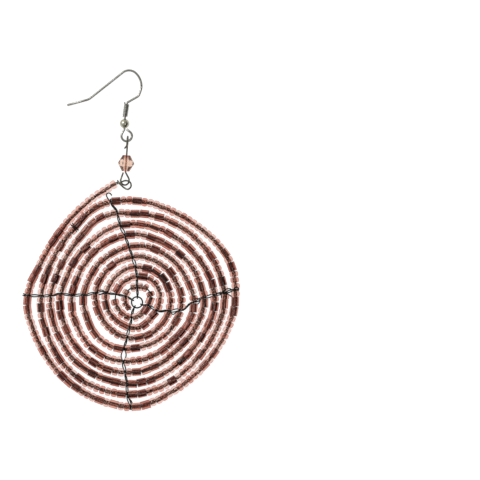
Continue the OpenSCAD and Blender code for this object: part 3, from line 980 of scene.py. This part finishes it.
def make_hook():
    place = on_ball()
    shank_end = Vector(HOOK_ROUTE[-1][:2])
    corners = eye_corners(HOOK_LOOP_AT, HOOK_LOOP_R, shank_end, HOOK_WIRE_END, 1)
    route = [(Vector((x, y, 0)), r) for x, y, r in HOOK_ROUTE]
    route += [(Vector((*p, 0)), HOOK_LOOP_R) for p in corners]
    route += [(Vector((*HOOK_WIRE_END, 0)), 0)]
    points = [place @ p for p in spaced(bent(route))]
    bm = bmesh.new()
    add_tube(bm, points, (HOOK_WIRE_D / 2 - HOOK_LESS) * MM, sides=20)
    new_piece("hook_wire", bm, [HOOK_METAL], "hook_steel", "ear_hook")


def make_coil():
    place = on_ball()
    top, foot = Vector(HOOK_ROUTE[-3][:2]), Vector(HOOK_ROUTE[-2][:2])
    down = unit(foot - top)
    right = turned(down)
    r = HOOK_WIRE_D / 2 + CLEAR / 2 + COIL_WIRE_D / 2
    tip_up, tip_out, tip_above = COIL_TIP
    tip = top + down * (COIL_START - tip_up) - right * (r + tip_out)
    points = [Vector((*tip, tip_above))]
    for i in range(COIL_TURNS * COIL_STEPS + 1):
        n = i / COIL_STEPS
        p = top + down * (COIL_START + (COIL_WIRE_D + COIL_ROOM) * n) - right * r * cosd(360 * n)
        points.append(Vector((*p, r * sind(360 * n))))
    bm = bmesh.new()
    add_tube(bm, [place @ p for p in points], COIL_WIRE_D / 2 * MM, sides=10, side=Vector((*down, 0)))
    new_piece("coil_wire", bm, [HOOK_METAL], "hook_steel", "hook_coil")


# Link and end loop

# Room between the upper eye's cut end and its neck, where the lower eye's wire ends, and a way that the
# link's wire doesn't start along
LINK_NECK_GAP = 0.35
LINK_LOWER_END = Vector((LINK_NECK + 0.15, -0.72))
LINK_SIDE = Vector((0, 0.8, 0.6))


def on_link():
    """From the link's own frame to the shared one: its wire runs along X, from the hook to the disc."""
    turn = Matrix.Rotation(math.radians(-90 - LINK_TURN), 4, "Z")
    return Matrix.Scale(MM, 4) @ Matrix.Translation(Vector((*LINK_AT, LINK_Z)) + CENTRING) @ turn


def tilted(p, bend_r):
    """A corner of the link's lower eye, whose plane is tilted about the wire."""
    return (Vector((p[0], p[1] * cosd(LINK_LOWER_TILT), -p[1] * sind(LINK_LOWER_TILT))), bend_r)


def make_link():
    """Corners lie along, across and above the link's wire, each with its bend radius."""
    r = LINK_UPPER_R
    side = LINK_WIRE_D + CLEAR
    neck = Vector((LINK_NECK, 0))
    lower = eye_corners(Vector((LINK_LOWER_AT, 0)), LINK_LOWER_R, neck, LINK_LOWER_END, -1)
    upper_eye = [
        ((r + 0.75, -0.75, 0.5), 0), ((r, -0.15, side + LINK_NECK_GAP), 0.1), ((r, -0.1, r), 0.4),
        ((-r, -0.05, r), r - 0.05), ((-r, 0, -r), r - 0.05), ((r, 0, -r), r - 0.5), ((r, 0, 0), 0.4),
        ((LINK_NECK, 0, 0), 0.4),
    ]
    route = [(Vector(p), bend_r) for p, bend_r in upper_eye]
    route += [tilted(p, LINK_LOWER_R) for p in lower] + [tilted(LINK_LOWER_END, 0)]
    place = on_link()
    points = [place @ p for p in spaced(bent(route))]
    bm = bmesh.new()
    add_tube(bm, points, LINK_WIRE_D / 2 * MM, sides=16, side=LINK_SIDE)
    new_piece("link_wire_bent", bm, [LINK_METAL], "hook_steel", "link_wire")


def make_end_loop():
    points = resampled([placed(*p) for p in END_ROUTE], WIRE_STEP * MM)
    bm = bmesh.new()
    add_tube(bm, points, STRING_WIRE_D / 2 * MM, sides=12)
    new_piece("end_loop_wire", bm, [LINK_METAL], "dark_wire", "end_loop")


def set_material(node, material):
    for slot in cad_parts[node].material_slots:
        slot.material = material


# Stage, in metres

# The floor: its half width, how far it lies under the part, its own grey, and how bright it is near by
# and far off
FLOOR_HALF = 12.0
FLOOR_DROP = 0.00002
FLOOR_GREY = 0.3
POOL_REACH = (0.12, 0.4)
POOL_GLOW = (0.9, 0.1)
# The share of that glow that reflections show, and the plain white that the camera sees
REFLECTED_SHARE = 0.55
EYE_WHITE = 0.95
# The room: its tint, where it is brightest, over which span, and from how dim to how bright
ROOM_TINT = (0.93, 0.92, 0.88, 1)
ROOM_BRIGHT_WAY = (-0.8, 0.55, 0.08)
ROOM_REACH = (-0.7, 0.9)
ROOM_GLOW = (0.05, 0.62)
# The camera: the width of its view where the disc is, its lens and sensor in millimetres, its place over
# the part, and how near and far it sees
VIEW_WIDTH = 0.144
LENS = 250.0
SENSOR = 36.0
CAMERA_AT = (0.032627, 0.00004)
CAMERA_REACH = (0.05, 50.0)


def lit_floor_material():
    """White to the eye. Through glass it is bright near by, and dimmer in reflections."""
    s = Shader("lit_floor", Roughness=1.0, Specular_IOR_Level=0.0)
    s.surface.inputs["Base Color"].default_value = (FLOOR_GREY, FLOOR_GREY, FLOOR_GREY, 1)
    s.surface.inputs["Emission Color"].default_value = (1, 1, 1, 1)
    away = s.node("ShaderNodeVectorMath")
    away.operation = "LENGTH"
    s.link(s.place(), away.inputs[0])
    pool = ranged(s.tree, away.outputs["Value"], POOL_REACH, POOL_GLOW)
    path = s.node("ShaderNodeLightPath")
    share = ranged(s.tree, path.outputs["Is Transmission Ray"], (0.0, 1.0), (REFLECTED_SHARE, 1.0))
    seen = s.node("ShaderNodeMath")
    seen.operation = "MULTIPLY"
    s.link(pool.outputs["Result"], seen.inputs[0])
    s.link(share.outputs["Result"], seen.inputs[1])
    glow = ranged(s.tree, path.outputs["Is Camera Ray"], (0.0, 1.0), (0.0, EYE_WHITE))
    s.link(seen.outputs["Value"], glow.inputs["To Min"])
    s.link(glow.outputs["Result"], s.surface.inputs["Emission Strength"])
    return s.material


def make_floor():
    """A lit white table, even to the eye."""
    corners = [(-FLOOR_HALF, -FLOOR_HALF), (FLOOR_HALF, -FLOOR_HALF), (FLOOR_HALF, FLOOR_HALF),
               (-FLOOR_HALF, FLOOR_HALF)]
    bm = bmesh.new()
    bm.faces.new([bm.verts.new((x, y, -FLOOR_DROP)) for x, y in corners])
    mesh = bpy.data.meshes.new("floor")
    bm.to_mesh(mesh)
    bm.free()
    mesh.materials.append(lit_floor_material())
    floor = bpy.data.objects.new("floor", mesh)
    bpy.context.scene.collection.objects.link(floor)


def make_light(name, at, size, power):
    """A round lamp that faces the middle of the frame."""
    data = bpy.data.lights.new(name, "AREA")
    data.shape = "DISK"
    data.size = size
    data.energy = power
    lamp = bpy.data.objects.new(name, data)
    lamp.location = at
    lamp.rotation_mode = "QUATERNION"
    lamp.rotation_quaternion = (-Vector(at)).to_track_quat("-Z", "Y")
    bpy.context.scene.collection.objects.link(lamp)


def make_world():
    """A dim studio, brighter towards its upper left, behind a backdrop that is plain white to the eye."""
    world = bpy.data.worlds.new("studio")
    bpy.context.scene.world = world
    world.use_nodes = True
    tree = world.node_tree
    room = tree.nodes["Background"]
    room.inputs["Color"].default_value = ROOM_TINT
    direction = tree.nodes.new("ShaderNodeTexCoord")
    toward = tree.nodes.new("ShaderNodeVectorMath")
    toward.operation = "DOT_PRODUCT"
    toward.inputs[1].default_value = ROOM_BRIGHT_WAY
    tree.links.new(direction.outputs["Generated"], toward.inputs[0])
    strength = ranged(tree, toward.outputs["Value"], ROOM_REACH, ROOM_GLOW)
    tree.links.new(strength.outputs["Result"], room.inputs["Strength"])
    backdrop = tree.nodes.new("ShaderNodeBackground")
    backdrop.inputs["Color"].default_value = (1, 1, 1, 1)
    path = tree.nodes.new("ShaderNodeLightPath")
    choice = tree.nodes.new("ShaderNodeMixShader")
    tree.links.new(path.outputs["Is Camera Ray"], choice.inputs["Fac"])
    tree.links.new(room.outputs["Background"], choice.inputs[1])
    tree.links.new(backdrop.outputs["Background"], choice.inputs[2])
    tree.links.new(choice.outputs["Shader"], tree.nodes["World Output"].inputs["Surface"])


def make_camera():
    """Straight above the middle of the photograph's view."""
    data = bpy.data.cameras.new("camera")
    data.lens = LENS
    data.sensor_width = SENSOR
    data.clip_start, data.clip_end = CAMERA_REACH
    camera = bpy.data.objects.new("camera", data)
    camera.location = (*CAMERA_AT, VIEW_WIDTH * LENS / SENSOR + DISC_Z * MM)
    bpy.context.scene.collection.objects.link(camera)
    bpy.context.scene.camera = camera


make_beads()
make_string_wire()
make_spokes()
make_hook()
make_coil()
make_link()
make_end_loop()
set_material("hook_ball", BALL_METAL)
set_material("hub_ring", DARK_WIRE)
set_material("crystal_bead", CRYSTAL_GLASS)
make_floor()
make_light("key", at=(-0.6, 0.45, 0.6), size=0.5, power=2.2)
make_light("fill", at=(0.3, -0.2, 0.9), size=0.4, power=0.4)
make_world()
make_camera()
bpy.context.scene.view_settings.view_transform = "Standard"
